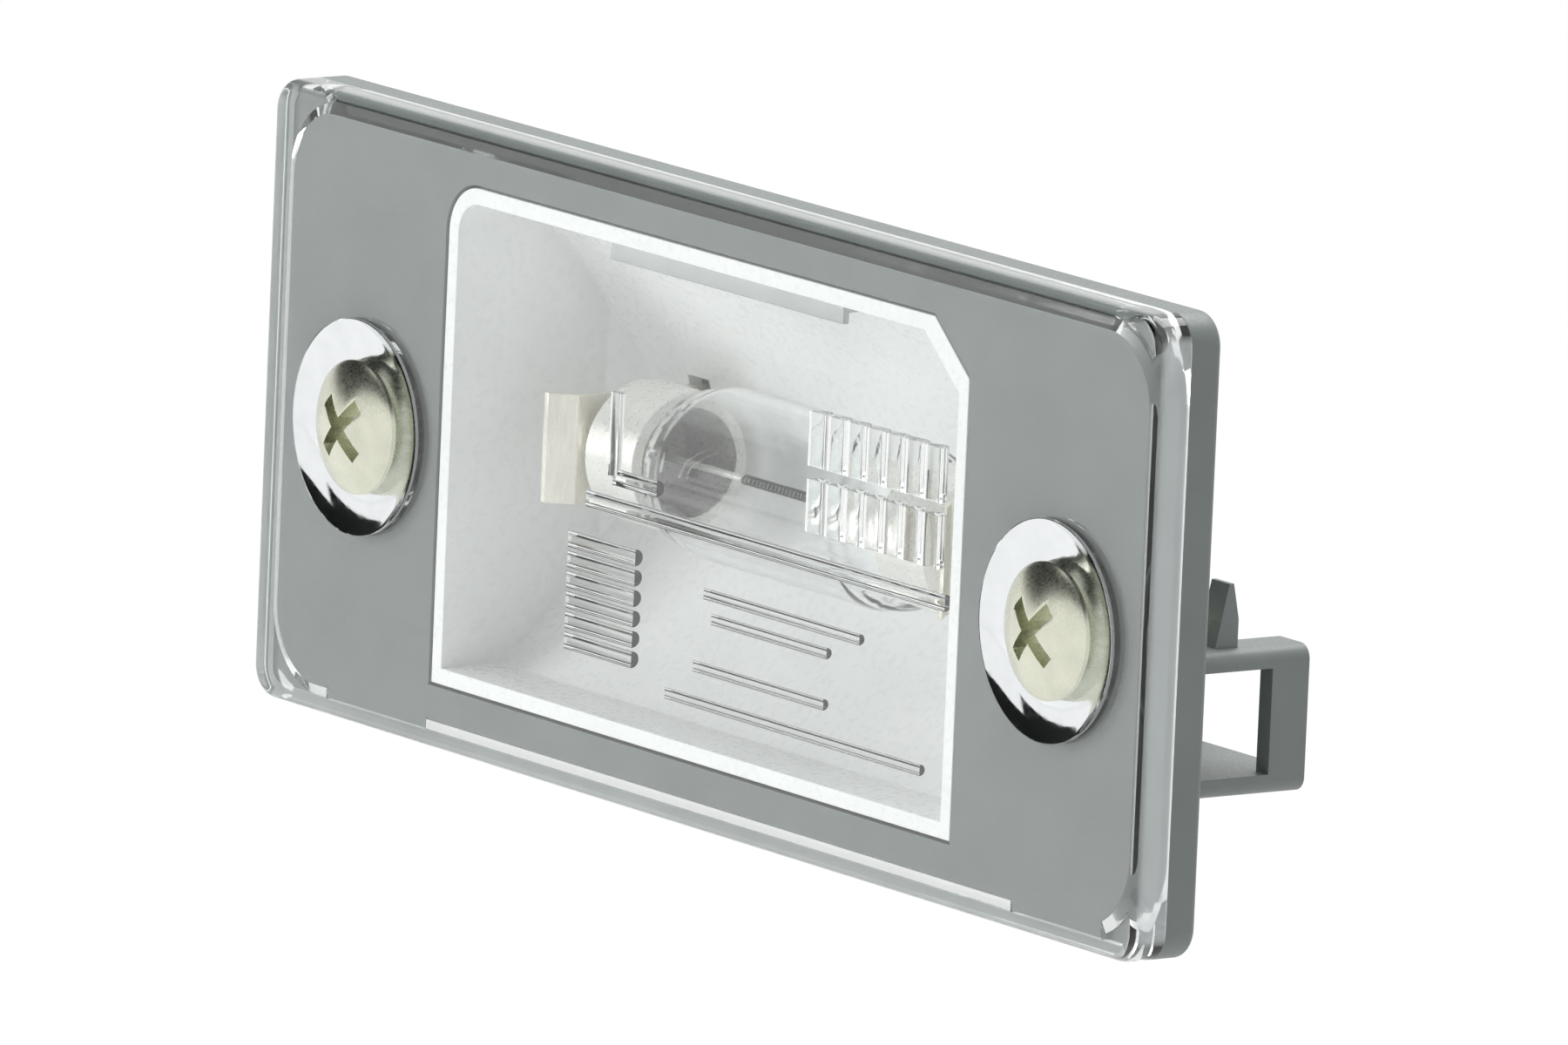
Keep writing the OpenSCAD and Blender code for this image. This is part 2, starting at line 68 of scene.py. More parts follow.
# Millimetre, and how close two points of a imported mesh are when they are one
MM = 0.001
MERGE = 0.001 * MM
FLAT = math.radians(0.6)
SHARP = math.radians(32)
SHARP_ROUNDED = math.radians(50)

# Screws: rounding of their edges, and how far the smooth core stays inside the thread and its tip
SCREW_ROUND = 0.08 * MM
CORE_INSET = 0.1 * MM
TIP_INSET = 0.5 * MM
TIP_SHRINK = 0.5

# How far round a washer, and how far behind it, the lens's cup makes room for it
CUP_MARGIN = 0.1 * MM
CUP_DEPTH = 0.5 * MM

# Milky share of the lens's four edges, and how far inside the box it starts and is full
MILKY_EDGES = (("X", 1.0, 0.5), ("X", -1.0, 0.5), ("Z", 1.0, 0.12), ("Z", -1.0, 0.3))
MILKY_START = 0.22 * MM
MILKY_FULL = 0.04 * MM

# Filament: radius of its wire
FILAMENT_WIRE = 0.07 * MM

# The camera as fitted to the photograph: the lamp's plate in front of a long lens
VIEW_AZIMUTH = math.radians(54.59)
VIEW_ELEVATION = math.radians(10.14)
VIEW_ROLL = math.radians(2.45)
VIEW_DISTANCE = 1.313
VIEW_LENS = 571.06
VIEW_SENSOR = 36.0
VIEW_CENTRE = Vector((0.0, -4.0 * MM, 0.84 * MM))
VIEW_SHIFT = (4.79 * MM, -0.57 * MM)

# The studio in metres and watts: lamps as place, size and power, then the floor, panels and world
TOP_LIGHT = ((-0.1, 0.25, 0.8), 0.7, 9.0)
FRONT_LIGHT = ((-0.75, -0.95, 0.2), 0.6, 6.0)
FLOOR_REACH = 3.0
FLOOR_WHITE = 0.9
FLAG_LEFT, FLAG_RIGHT = -1.2, 1.6
FLAG_NEAR, FLAG_FAR = -1.6, 0.45
FLAG_TOP = 1.7
FLAG_LEFT_FOOT, FLAG_FRONT_FOOT = 0.17, 0.65
FLAG_GREY = (0.02, 0.022, 0.02, 1.0)
SOFT_WORLD = 0.42


class LampSizes(bpy.types.PropertyGroup):
    """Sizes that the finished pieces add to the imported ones."""

    housing_round: FloatProperty(
        name="Housing edges", description="Rounding of the housing's edges",
        default=0.14 * MM, min=0.0, unit="LENGTH", precision=5)
    metal_round: FloatProperty(
        name="Metal edges", description="Rounding of the stamped strips' edges",
        default=0.06 * MM, min=0.0, unit="LENGTH", precision=5)
    seat_gap: FloatProperty(
        name="Seat gap", description="Air between the clear lens and what it rests on",
        default=0.03 * MM, min=0.0, unit="LENGTH", precision=5)
    thread_pitch: FloatProperty(
        name="Thread pitch", description="Distance from one turn of the screw's thread to the next",
        default=1.4 * MM, min=0.0, unit="LENGTH", precision=5)
    thread_depth: FloatProperty(
        name="Thread depth", description="Height of the screw's thread over its core",
        default=0.42 * MM, min=0.0, unit="LENGTH", precision=5)
    coil_turns: IntProperty(
        name="Filament turns", description="Turns of the bulb's coiled filament",
        default=34, min=4, max=80)
    floor_drop: FloatProperty(
        name="Floor drop", description="Distance from the lamp's lowest edge to the floor",
        default=60 * MM, min=0.0, unit="LENGTH", precision=5)


def colour(name, description, value):
    """A colour property with its three linear values."""
    return FloatVectorProperty(
        name=name, description=description, subtype="COLOR", size=3, default=value, min=0.0, max=1.0)


class LampColours(bpy.types.PropertyGroup):
    """Base colours of the finishes, in linear light."""

    acrylic: colour("Lens", "Tint of the clear lens", (0.985, 0.995, 0.99))
    frost: colour("Lens edge", "Milky edge of the lens", (0.76, 0.80, 0.795))
    grey: colour("Housing", "Grey of the moulded housing", (0.172, 0.193, 0.184))
    bright: colour("Reflector", "White of the moulded reflector", (0.955, 0.96, 0.955))
    silicone: colour("Silicone", "Milky silicone of the bead under the lens", (0.36, 0.38, 0.37))
    rubber: colour("Rubber", "Black of the gasket", (0.018, 0.02, 0.02))
    steel: colour("Heat shield", "Rolled steel sheet", (0.42, 0.44, 0.44))
    glass: colour("Bulb glass", "Tint of the bulb's glass", (0.99, 0.995, 0.993))
    nickel: colour("Caps", "Nickel plate of the bulb's caps", (0.84, 0.83, 0.79))
    tungsten: colour("Filament", "Grey of the filament", (0.12, 0.12, 0.125))
    brass: colour("Contacts", "Tinned brass of the springs and blades", (0.78, 0.76, 0.68))
    zinc: colour("Screws", "Yellow zinc plate of the screws", (0.74, 0.75, 0.62))
    chrome: colour("Washers", "Polished plate of the dished washers", (0.84, 0.86, 0.87))
    floor: colour("Floor", "Pale studio floor", (0.9, 0.9, 0.9))


class Tree:
    """Short ways to add nodes to a node tree and to join them."""

    def __init__(self, tree):
        self.tree = tree

    def add(self, kind, inputs=None, **settings):
        node = self.tree.nodes.new(kind)
        for key, value in settings.items():
            setattr(node, key, value)
        for key, value in (inputs or {}).items():
            self.put(node, key, value)
        return node

    def put(self, node, key, value):
        if isinstance(value, bpy.types.NodeSocket):
            self.tree.links.new(value, node.inputs[key])
        else:
            node.inputs[key].default_value = value


def material(name):
    """An empty node material, with the tree that its nodes go into."""
    made = bpy.data.materials.new(name)
    made.use_nodes = True
    made.node_tree.nodes.clear()
    return made, Tree(made.node_tree)


def noise(tree, size, detail=2.0, stretch=(1.0, 1.0, 1.0)):
    """Noise whose patches are about that many metres across, in the object's own coordinates."""
    place = tree.add("ShaderNodeTexCoord")
    mapping = tree.add("ShaderNodeMapping", {"Vector": place.outputs["Object"], "Scale": stretch})
    return tree.add(
        "ShaderNodeTexNoise",
        {"Vector": mapping.outputs["Vector"], "Scale": 1.0 / size, "Detail": detail}).outputs["Fac"]


def spread(tree, value, low, high):
    """That value from 0 to 1 brought between two numbers."""
    return tree.add(
        "ShaderNodeMapRange", {
            "Value": value, "From Min": 0.3, "From Max": 0.7, "To Min": low, "To Max": high},
        clamp=True).outputs["Result"]


def shaded(tree, base, value, change):
    """A base colour that a value from 0 to 1 darkens and lightens by that share."""
    bright = spread(tree, value, 1.0 - change, 1.0 + change)
    return tree.add(
        "ShaderNodeMix",
        {"Factor": 1.0, "A": (*base, 1.0), "B": bright},
        data_type="RGBA", blend_type="MULTIPLY").outputs["Result"]


def bumped(tree, value, height, strength=1.0):
    """A normal from a value, with that height in metres."""
    return tree.add(
        "ShaderNodeBump", {"Height": value, "Distance": height, "Strength": strength}).outputs["Normal"]


def finish_with(tree, shader):
    """Leads a shader to the material's output."""
    tree.add("ShaderNodeOutputMaterial", {"Surface": shader})


def plain_finish(name, base, rough, change=0.04, patch=4 * MM, grain=0.2 * MM, height=0.01 * MM, metal=0.0,
                 stretch=(1.0, 1.0, 1.0)):
    """A solid finish with soft patches in its colour, uneven gloss and a fine grain."""
    made, tree = material(name)
    patches = noise(tree, patch, 3.0)
    fine = noise(tree, grain, 2.0, stretch)
    shader = tree.add("ShaderNodeBsdfPrincipled", {
        "Base Color": shaded(tree, base, patches, change),
        "Roughness": spread(tree, fine, rough[0], rough[1]),
        "Normal": bumped(tree, fine, height),
        "Metallic": metal,
    })
    finish_with(tree, shader.outputs["BSDF"])
    return made


def edge_share(tree):
    """How milky the lens is: its ends most, its long edges a little and its front not at all."""
    place = tree.add("ShaderNodeTexCoord")
    centred = tree.add("ShaderNodeMapping", {"Vector": place.outputs["Object"]})
    low, high = cad_box
    middle = (low + high) / 2
    centred.inputs["Location"].default_value = (-middle.x, 0.0, -middle.z)
    axes = tree.add("ShaderNodeSeparateXYZ", {"Vector": centred.outputs["Vector"]}).outputs
    whole = 0.0
    for axis, side, milky in MILKY_EDGES:
        half = (getattr(high, axis.lower()) - getattr(low, axis.lower())) / 2
        out = tree.add("ShaderNodeMath", {0: axes[axis], 1: side}, operation="MULTIPLY")
        share = tree.add("ShaderNodeMapRange", {
            "Value": out.outputs[0], "From Min": half - MILKY_START, "From Max": half - MILKY_FULL,
            "To Max": milky})
        whole = tree.add("ShaderNodeMath", {0: whole, 1: share.outputs[0]}, operation="MAXIMUM").outputs[0]
    return whole


def clear_finish(name, base, ior, rough, height, patch, frost=None):
    """Clear glass or acrylic that lamps shine through, with a slight waviness and perhaps a milky edge."""
    made, tree = material(name)
    wave = noise(tree, patch, 1.0)
    shader = tree.add("ShaderNodeBsdfPrincipled", {
        "Base Color": shaded(tree, base, wave, 0.01),
        "Roughness": spread(tree, wave, rough[0], rough[1]),
        "Normal": bumped(tree, wave, height),
        "IOR": ior,
        "Transmission Weight": 1.0,
    })
    through = tree.add("ShaderNodeBsdfTransparent", {"Color": (*base, 1.0)})
    path = tree.add("ShaderNodeLightPath")
    lamps = tree.add(
        "ShaderNodeMath",
        {0: path.outputs["Is Shadow Ray"], 1: path.outputs["Is Diffuse Ray"]}, operation="MAXIMUM")
    front = shader
    if frost:
        milky = tree.add("ShaderNodeBsdfPrincipled", {
            "Base Color": shaded(tree, frost, wave, 0.03), "Roughness": 0.35, "IOR": ior})
        front = tree.add("ShaderNodeMixShader", {
            0: edge_share(tree), 1: shader.outputs["BSDF"], 2: milky.outputs["BSDF"]})
    mixed = tree.add("ShaderNodeMixShader", {
        0: lamps.outputs["Value"], 1: front.outputs[0], 2: through.outputs["BSDF"]})
    finish_with(tree, mixed.outputs["Shader"])
    return made


def put_material(obj, made):
    """Gives a piece one material."""
    obj.data.materials.clear()
    obj.data.materials.append(made)


def piece(name, mesh):
    """A new object with that mesh, at the origin of the row's frame."""
    mesh.name = name
    obj = bpy.data.objects.new(name, mesh)
    bpy.context.scene.collection.objects.link(obj)
    return obj


def evaluated(obj):
    """Replaces a piece's mesh by what its modifiers make of it."""
    graph = bpy.context.evaluated_depsgraph_get()
    mesh = bpy.data.meshes.new_from_object(obj.evaluated_get(graph))
    obj.modifiers.clear()
    obj.data = mesh
    return obj


def smooth(obj, angle=SHARP):
    """Smooth shading over all edges flatter than that angle, led by the largest faces."""
    bm = bmesh.new()
    bm.from_mesh(obj.data)
    for face in bm.faces:
        face.smooth = True
    for edge in bm.edges:
        edge.smooth = edge.calc_face_angle(math.pi) < angle
    bm.to_mesh(obj.data)
    bm.free()
    led = obj.modifiers.new("Weighted normals", "WEIGHTED_NORMAL")
    led.mode = "FACE_AREA"
    led.weight = 100
    led.keep_sharp = True
    return evaluated(obj)


def away_from(point, axis):
    """Distance of a point from the line along Y through another point."""
    return math.hypot(point.x - axis.x, point.z - axis.z)


def merged_copy(node):
    """A CAD node's mesh as one closed surface with whole flat faces."""
    bm = bmesh.new()
    bm.from_mesh(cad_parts[node].data)
    bmesh.ops.remove_doubles(bm, verts=bm.verts, dist=MERGE)
    bmesh.ops.dissolve_limit(bm, angle_limit=FLAT, verts=bm.verts, edges=bm.edges)
    return bm


def to_mesh(bm, name):
    """A mesh from a bmesh, which is freed."""
    mesh = bpy.data.meshes.new(name)
    bm.to_mesh(mesh)
    bm.free()
    return mesh


def rounded(obj, width):
    """Rounds a piece's sharp edges."""
    edges = obj.modifiers.new("Rounded edges", "BEVEL")
    edges.width = width
    edges.segments = 2
    edges.limit_method = "ANGLE"
    edges.angle_limit = SHARP
    return evaluated(obj)


def settle(obj, made, slot, *nodes, angle=SHARP):
    """Finishes a piece: its material, the body it rides on and the nodes it stands for. The slot is not used."""
    put_material(obj, made)
    smooth(obj, angle)
    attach(obj, "root")
    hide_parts(*nodes)
    return obj


def dressed(node, name, made, slot, width=0.0):
    """A piece with a CAD node's own form, its edges rounded and its faces smooth."""
    obj = piece(name, to_mesh(merged_copy(node), name))
    if width:
        rounded(obj, width)
    return settle(obj, made, slot, node, angle=SHARP_ROUNDED if width else SHARP)


class LAMP_OT_lens(bpy.types.Operator):
    """Clear lens with its rim, screw cups and ribs."""

    bl_idname = "lamp.lens"
    bl_label = "Lens"

    def execute(self, context):
        sizes, colours = context.scene.lamp_sizes, context.scene.lamp_colours
        made = clear_finish(
            "clear_acrylic", tuple(colours.acrylic), 1.49, (0.015, 0.05), 0.004 * MM, 3 * MM,
            frost=tuple(colours.frost))
        bm = merged_copy("lens")
        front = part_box("lens")[0].y
        flange_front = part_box("lens_seal")[0].y
        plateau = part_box("housing")[0].y
        for v in bm.verts:
            for seat in (flange_front, plateau):
                if abs(v.co.y - seat) < MERGE:
                    v.co.y -= sizes.seat_gap
        for side in ("left", "right"):
            low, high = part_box(f"screw_washer_{side}")
            middle, reach = (low + high) / 2, (high.x - low.x) / 2 + CUP_MARGIN
            for v in bm.verts:
                if away_from(v.co, middle) < reach and front + MERGE < v.co.y < high.y + CUP_DEPTH:
                    v.co.y += sizes.seat_gap
        obj = piece("clear_lens", to_mesh(bm, "clear_lens"))
        settle(obj, made, "lens_clear", "lens")
        return {"FINISHED"}


class LAMP_OT_housing(bpy.types.Operator):
    """Grey moulded housing with its cage and plug socket."""

    bl_idname = "lamp.housing"
    bl_label = "Housing"

    def execute(self, context):
        sizes, colours = context.scene.lamp_sizes, context.scene.lamp_colours
        made = plain_finish(
            "grey_moulding", tuple(colours.grey), (0.38, 0.55), change=0.05,
            grain=0.16 * MM, height=0.004 * MM)
        dressed("housing", "grey_housing", made, "housing_grey", sizes.housing_round)
        return {"FINISHED"}


class LAMP_OT_reflector(bpy.types.Operator):
    """Bright reflector tray and the heat shield under its top lip."""

    bl_idname = "lamp.reflector"
    bl_label = "Reflector"

    def execute(self, context):
        sizes, colours = context.scene.lamp_sizes, context.scene.lamp_colours
        made = plain_finish(
            "white_moulding", tuple(colours.bright), (0.25, 0.33), change=0.012, patch=6 * MM,
            grain=0.5 * MM, height=0.0008 * MM)
        dressed("reflector", "reflector_tray", made, "reflector_white", sizes.metal_round)
        sheet = plain_finish(
            "rolled_steel", tuple(colours.steel), (0.28, 0.45), change=0.06, grain=0.12 * MM,
            height=0.002 * MM, metal=1.0, stretch=(0.05, 1.0, 1.0))
        dressed("heat_shield", "steel_shield", sheet, "shield_steel", sizes.metal_round)
        return {"FINISHED"}


class LAMP_OT_seals(bpy.types.Operator):
    """Bead under the lens and gasket behind the flange."""

    bl_idname = "lamp.seals"
    bl_label = "Seals"

    def execute(self, context):
        colours = context.scene.lamp_colours
        bead = plain_finish(
            "milky_silicone", tuple(colours.silicone), (0.35, 0.5), change=0.05,
            grain=0.6 * MM, height=0.004 * MM)
        rubber = plain_finish(
            "soft_rubber", tuple(colours.rubber), (0.6, 0.8), change=0.15, grain=0.1 * MM, height=0.01 * MM)
        put_material(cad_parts["lens_seal"], bead)
        put_material(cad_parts["body_gasket"], rubber)
        return {"FINISHED"}


def coil_tree(made):
    """Node tree that winds a wire into a coil along X."""
    group = bpy.data.node_groups.new("Wound filament", "GeometryNodeTree")
    face = group.interface
    face.new_socket("Geometry", in_out="OUTPUT", socket_type="NodeSocketGeometry")
    for name, kind in (("Turns", "Float"), ("Radius", "Float"), ("Length", "Float"), ("Wire", "Float")):
        face.new_socket(name, in_out="INPUT", socket_type=f"NodeSocket{kind}")
    tree = Tree(group)
    sizes = tree.add("NodeGroupInput").outputs
    spiral = tree.add("GeometryNodeCurveSpiral", {
        "Resolution": 14, "Rotations": sizes["Turns"], "Start Radius": sizes["Radius"],
        "End Radius": sizes["Radius"], "Height": sizes["Length"]})
    wire = tree.add(
        "GeometryNodeCurvePrimitiveCircle", {"Resolution": 6, "Radius": sizes["Wire"]}, mode="RADIUS")
    swept = tree.add("GeometryNodeCurveToMesh", {
        "Curve": spiral.outputs["Curve"], "Profile Curve": wire.outputs["Curve"], "Fill Caps": True})
    real = tree.add("GeometryNodeRealizeInstances", {"Geometry": swept.outputs["Mesh"]})
    drawn = tree.add("GeometryNodeSetMaterial", {"Geometry": real.outputs["Geometry"], "Material": made})
    tree.add("NodeGroupOutput", {"Geometry": drawn.outputs["Geometry"]})
    return group


def grown(name, group, values):
    """A piece made by a Geometry Nodes tree, with its named inputs set, as a plain mesh."""
    obj = piece(name, bpy.data.meshes.new(name))
    nodes = obj.modifiers.new("Geometry", "NODES")
    nodes.node_group = group
    for item in group.interface.items_tree:
        if item.in_out == "INPUT" and item.name in values:
            nodes[item.identifier] = values[item.name]
    return evaluated(obj)


class LAMP_OT_bulb(bpy.types.Operator):
    """Festoon bulb: clear envelope, two caps, wires and a wound filament."""

    bl_idname = "lamp.bulb"
    bl_label = "Bulb"

    def execute(self, context):
        sizes, colours = context.scene.lamp_sizes, context.scene.lamp_colours
        glass = clear_finish("bulb_envelope", tuple(colours.glass), 1.5, (0.0, 0.02), 0.002 * MM, 4 * MM)
        dressed("bulb_glass", "glass_envelope", glass, "bulb_clear")
        nickel = plain_finish(
            "nickel_plate", tuple(colours.nickel), (0.26, 0.32), change=0.04, grain=0.3 * MM,
            height=0.0003 * MM, metal=0.35)
        for side in ("left", "right"):
            dressed(f"bulb_cap_{side}", f"end_cap_{side}", nickel, "cap_nickel", sizes.metal_round)
            put_material(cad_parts[f"bulb_wire_{side}"], nickel)
        tungsten = plain_finish(
            "drawn_tungsten", tuple(colours.tungsten), (0.4, 0.6), change=0.1, grain=0.05 * MM,
            height=0.002 * MM, metal=1.0)
        low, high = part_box("bulb_filament")
        wire = FILAMENT_WIRE
        coil = grown("wound_filament", coil_tree(tungsten), {
            "Turns": float(sizes.coil_turns), "Radius": (high.z - low.z) / 2 - wire,
            "Length": high.x - low.x - 4 * wire, "Wire": wire})
        middle = (low + high) / 2
        start = Vector((low.x + 2 * wire, middle.y, middle.z))
        coil.data.transform(Matrix.Translation(start) @ Matrix.Rotation(math.pi / 2, 4, "Y"))
        settle(coil, tungsten, "tungsten", "bulb_filament")
        return {"FINISHED"}


class LAMP_OT_contacts(bpy.types.Operator):
    """Brass springs that hold the bulb, with their rivets and the plug's blades."""

    bl_idname = "lamp.contacts"
    bl_label = "Contacts"

    def execute(self, context):
        sizes, colours = context.scene.lamp_sizes, context.scene.lamp_colours
        made = plain_finish(
            "brass_strip", tuple(colours.brass), (0.22, 0.4), change=0.08, grain=0.12 * MM,
            height=0.002 * MM, metal=1.0, stretch=(1.0, 1.0, 0.08))
        for kind in ("contact", "terminal", "rivet"):
            for side in ("left", "right"):
                dressed(f"{kind}_{side}", f"brass_{kind}_{side}", made, "contact_brass", sizes.metal_round)
        return {"FINISHED"}


def thread_tree(made):
    """Node tree that cuts a thread into a pin along Z, up to its pointed end."""
    group = bpy.data.node_groups.new("Cut thread", "GeometryNodeTree")
    face = group.interface
    face.new_socket("Geometry", in_out="OUTPUT", socket_type="NodeSocketGeometry")
    for name in ("Radius", "Pitch", "Depth", "Length", "Tip length", "Tip radius"):
        face.new_socket(name, in_out="INPUT", socket_type="NodeSocketFloat")
    tree = Tree(group)
    sizes = tree.add("NodeGroupInput").outputs

    def sums(operation, *values):
        return tree.add("ShaderNodeMath", dict(enumerate(values)), operation=operation).outputs[0]

    def between(value, low, high, first, last):
        return tree.add("ShaderNodeMapRange", {
            "Value": value, "From Min": low, "From Max": high, "To Min": first, "To Max": last}).outputs[0]

    pin = tree.add("GeometryNodeMeshCylinder", {
        "Vertices": 40, "Side Segments": 100, "Radius": sizes["Radius"], "Depth": sizes["Length"]})
    place = tree.add("GeometryNodeInputPosition").outputs[0]
    axes = tree.add("ShaderNodeSeparateXYZ", {"Vector": place}).outputs
    height = sums("MULTIPLY_ADD", sizes["Length"], 0.5, axes["Z"])
    turn = sums("DIVIDE", sums("ARCTAN2", axes["Y"], axes["X"]), 2 * math.pi)
    phase = sums("SUBTRACT", sums("DIVIDE", height, sizes["Pitch"]), turn)
    depth_share = sums("DIVIDE", sizes["Depth"], sizes["Radius"])
    groove = between(sums("PINGPONG", phase, 0.5), 0.1, 0.45, 0.0, depth_share)
    tip_share = sums("DIVIDE", sizes["Tip radius"], sizes["Radius"])
    straight = sums("SUBTRACT", sizes["Length"], sizes["Tip length"])
    taper = between(height, straight, sizes["Length"], 1.0, tip_share)
    share = sums("MULTIPLY", taper, sums("SUBTRACT", 1.0, groove))
    moved = tree.add("ShaderNodeCombineXYZ", {
        "X": sums("MULTIPLY", axes["X"], share), "Y": sums("MULTIPLY", axes["Y"], share), "Z": height})
    cut = tree.add("GeometryNodeSetPosition", {"Geometry": pin.outputs["Mesh"], "Position": moved.outputs[0]})
    real = tree.add("GeometryNodeRealizeInstances", {"Geometry": cut.outputs[0]})
    plated = tree.add("GeometryNodeSetMaterial", {"Geometry": real.outputs[0], "Material": made})
    tree.add("NodeGroupOutput", {"Geometry": plated.outputs[0]})
    return group


def threaded(node, name, made, group, sizes):
    """A screw with its own head and a thread cut into its shank."""
    low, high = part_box(node)
    middle = (low + high) / 2
    bm = merged_copy(node)
    shank = [v for v in bm.verts if v.co.y > -MERGE]
    radius = max(away_from(v.co, middle) for v in shank)
    tip_start = max(v.co.y for v in shank if away_from(v.co, middle) > radius - MERGE)
    tip_radius = max(away_from(v.co, middle) for v in shank if v.co.y > high.y - MERGE)
    core = radius - sizes.thread_depth - CORE_INSET
    for v in shank:
        share = min(1.0, core / max(away_from(v.co, middle), MERGE))
        if v.co.y > high.y - MERGE:
            share = TIP_SHRINK
            v.co.y -= TIP_INSET
        v.co.x = middle.x + (v.co.x - middle.x) * share
        v.co.z = middle.z + (v.co.z - middle.z) * share
    bmesh.ops.remove_doubles(bm, verts=bm.verts, dist=MERGE)
    obj = rounded(piece(name, to_mesh(bm, name)), SCREW_ROUND)
    thread = grown(f"{name}_thread", group, {
        "Radius": radius, "Pitch": sizes.thread_pitch, "Depth": sizes.thread_depth, "Length": high.y,
        "Tip length": high.y - tip_start, "Tip radius": tip_radius})
    start = Matrix.Translation((middle.x, 0.0, middle.z))
    thread.data.transform(start @ Matrix.Rotation(-math.pi / 2, 4, "X"))
    bm = bmesh.new()
    bm.from_mesh(obj.data)
    bm.from_mesh(thread.data)
    bpy.data.objects.remove(thread)
    bm.to_mesh(obj.data)
    bm.free()
    return settle(obj, made, "screw_zinc", node, angle=SHARP_ROUNDED)


class LAMP_OT_screws(bpy.types.Operator):
    """Plated screws with a cross recess, and the polished washers that they sit in."""

    bl_idname = "lamp.screws"
    bl_label = "Screws"

    def execute(self, context):
        sizes, colours = context.scene.lamp_sizes, context.scene.lamp_colours
        made = plain_finish(
            "zinc_plate", tuple(colours.zinc), (0.24, 0.34), change=0.07, patch=1.5 * MM,
            grain=0.15 * MM, height=0.0012 * MM, metal=1.0)
        polished = plain_finish(
            "polished_plate", tuple(colours.chrome), (0.05, 0.12), change=0.03, patch=1.2 * MM, grain=0.4 * MM,
            height=0.002 * MM, metal=1.0)
        group = thread_tree(made)
        for side in ("left", "right"):
            threaded(f"screw_{side}", f"plated_screw_{side}", made, group, sizes)
            dressed(f"screw_washer_{side}", f"dished_washer_{side}", polished, "washer_bright")
        return {"FINISHED"}


def area_light(name, place, size, energy):
    """A soft square lamp that faces the lamp in the middle."""
    data = bpy.data.lights.new(name, "AREA")
    data.shape = "SQUARE"
    data.size = size
    data.energy = energy
    obj = bpy.data.objects.new(name, data)
    obj.location = place
    obj.rotation_euler = (-Vector(place)).to_track_quat("-Z", "Y").to_euler()
    bpy.context.scene.collection.objects.link(obj)
    return obj


def white_rays(tree):
    """1 for rays that look at the background: the camera's own, mirrored ones and those through glass."""
    path = tree.add("ShaderNodeLightPath").outputs
    first = tree.add("ShaderNodeMath", {0: path["Is Camera Ray"], 1: path["Is Glossy Ray"]}, operation="MAXIMUM")
    return tree.add(
        "ShaderNodeMath", {0: first.outputs[0], 1: path["Is Transmission Ray"]}, operation="MAXIMUM").outputs[0]


def quad(name, corners, made):
    """A flat panel through four corners."""
    mesh = bpy.data.meshes.new(name)
    mesh.from_pydata([tuple(c) for c in corners], [], [(0, 1, 2, 3)])
    obj = piece(name, mesh)
    put_material(obj, made)
    return obj


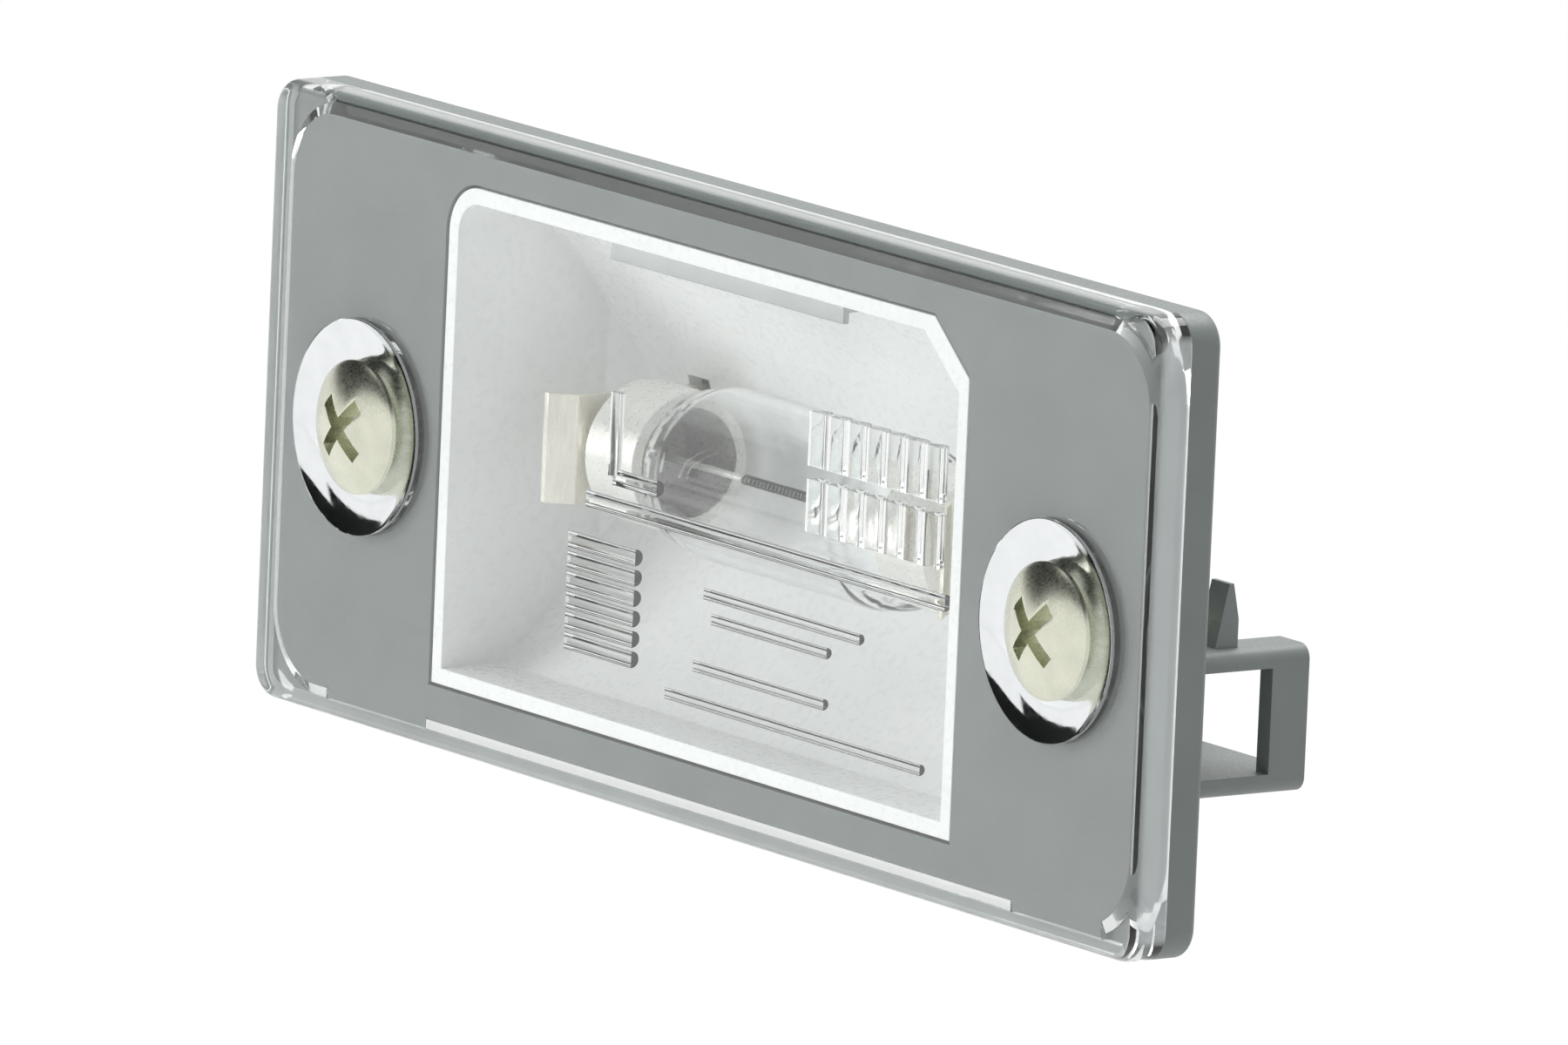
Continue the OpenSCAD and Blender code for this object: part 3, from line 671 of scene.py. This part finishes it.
class LAMP_OT_stage(bpy.types.Operator):
    """Pale floor, soft studio light and the camera."""

    bl_idname = "lamp.stage"
    bl_label = "Stage"

    def execute(self, context):
        scene = context.scene
        sizes, colours = scene.lamp_sizes, scene.lamp_colours
        self.camera(scene)
        self.world(scene)
        floor, tree = material("pale_floor")
        lit = tree.add("ShaderNodeBsdfDiffuse", {"Color": (*tuple(colours.floor), 1.0)})
        white = tree.add("ShaderNodeEmission", {"Color": (1.0, 1.0, 1.0, 1.0), "Strength": 1.0})
        share = tree.add("ShaderNodeMath", {0: white_rays(tree), 1: FLOOR_WHITE}, operation="MULTIPLY")
        mixed = tree.add("ShaderNodeMixShader", {
            0: share.outputs[0], 1: lit.outputs[0], 2: white.outputs[0]})
        finish_with(tree, mixed.outputs[0])
        z = cad_box[0].z - sizes.floor_drop
        r = FLOOR_REACH
        quad("floor", [(-r, -r, z), (r, -r, z), (r, r, z), (-r, r, z)], floor)
        flag, tree = material("dark_flag")
        finish_with(tree, tree.add("ShaderNodeBsdfDiffuse", {"Color": FLAG_GREY}).outputs[0])
        near_left, near_right = (FLAG_LEFT, FLAG_NEAR), (FLAG_RIGHT, FLAG_NEAR)
        for name, foot, one, two in (
                ("dark_flag_left", FLAG_LEFT_FOOT, near_left, (FLAG_LEFT, FLAG_FAR)),
                ("dark_flag_front", FLAG_FRONT_FOOT, near_left, near_right)):
            panel = quad(name, [(*one, foot), (*two, foot), (*two, FLAG_TOP), (*one, FLAG_TOP)], flag)
            panel.visible_camera = panel.visible_diffuse = panel.visible_shadow = False
        area_light("top_light", *TOP_LIGHT)
        fill = area_light("front_light", *FRONT_LIGHT)
        fill.visible_glossy = False
        return {"FINISHED"}

    def camera(self, scene):
        """The photograph's view: a long lens, level with the plate and to its right."""
        a, e = VIEW_AZIMUTH, VIEW_ELEVATION
        back = Vector((math.sin(a) * math.cos(e), -math.cos(a) * math.cos(e), math.sin(e)))
        side = Vector((math.cos(a), math.sin(a), 0.0))
        up = back.cross(side)
        right = side * math.cos(VIEW_ROLL) + up * math.sin(VIEW_ROLL)
        high = up * math.cos(VIEW_ROLL) - side * math.sin(VIEW_ROLL)
        data = bpy.data.cameras.new("photo_view")
        data.sensor_width = VIEW_SENSOR
        data.lens = VIEW_LENS
        data.clip_start, data.clip_end = 0.1, 20.0
        cam = bpy.data.objects.new("photo_view", data)
        place = VIEW_CENTRE + back * VIEW_DISTANCE + right * VIEW_SHIFT[0] + high * VIEW_SHIFT[1]
        turn = Matrix((right, high, back)).transposed()
        cam.matrix_world = Matrix.Translation(place) @ turn.to_4x4()
        scene.collection.objects.link(cam)
        scene.camera = cam

    def world(self, scene):
        """White behind everything that is looked at, and a softer light on the lamp."""
        made = bpy.data.worlds.new("studio")
        made.use_nodes = True
        made.node_tree.nodes.clear()
        tree = Tree(made.node_tree)
        soft = tree.add("ShaderNodeBackground", {"Color": (0.96, 0.98, 1.0, 1.0), "Strength": SOFT_WORLD})
        white = tree.add("ShaderNodeBackground", {"Color": (1.0, 1.0, 1.0, 1.0), "Strength": 1.0})
        mixed = tree.add("ShaderNodeMixShader", {0: white_rays(tree), 1: soft.outputs[0], 2: white.outputs[0]})
        tree.add("ShaderNodeOutputWorld", {"Surface": mixed.outputs[0]})
        scene.world = made
        scene.view_settings.view_transform = "Standard"


OPERATORS = (
    LAMP_OT_stage, LAMP_OT_housing, LAMP_OT_reflector, LAMP_OT_contacts, LAMP_OT_bulb,
    LAMP_OT_seals, LAMP_OT_lens, LAMP_OT_screws,
)


class LAMP_PT_pieces(bpy.types.Panel):
    """Lists the lamp's pieces and the sizes and colours they use."""

    bl_idname = "LAMP_PT_pieces"
    bl_label = "Number Plate Lamp"
    bl_space_type = "VIEW_3D"
    bl_region_type = "UI"
    bl_category = "Lamp"

    def draw(self, context):
        for operator in OPERATORS:
            self.layout.operator(operator.bl_idname)
        for group in (context.scene.lamp_sizes, context.scene.lamp_colours):
            for name in group.bl_rna.properties.keys():
                if name not in ("rna_type", "name"):
                    self.layout.prop(group, name)


CLASSES = (LampSizes, LampColours, *OPERATORS, LAMP_PT_pieces)


def register():
    for made in CLASSES:
        bpy.utils.register_class(made)
    bpy.types.Scene.lamp_sizes = PointerProperty(type=LampSizes)
    bpy.types.Scene.lamp_colours = PointerProperty(type=LampColours)


def unregister():
    del bpy.types.Scene.lamp_colours
    del bpy.types.Scene.lamp_sizes
    for made in reversed(CLASSES):
        bpy.utils.unregister_class(made)


def main():
    """Builds every piece."""
    register()
    for operator in OPERATORS:
        group, name = operator.bl_idname.split(".")
        getattr(getattr(bpy.ops, group), name)()


if __name__ == "__main__":
    main()
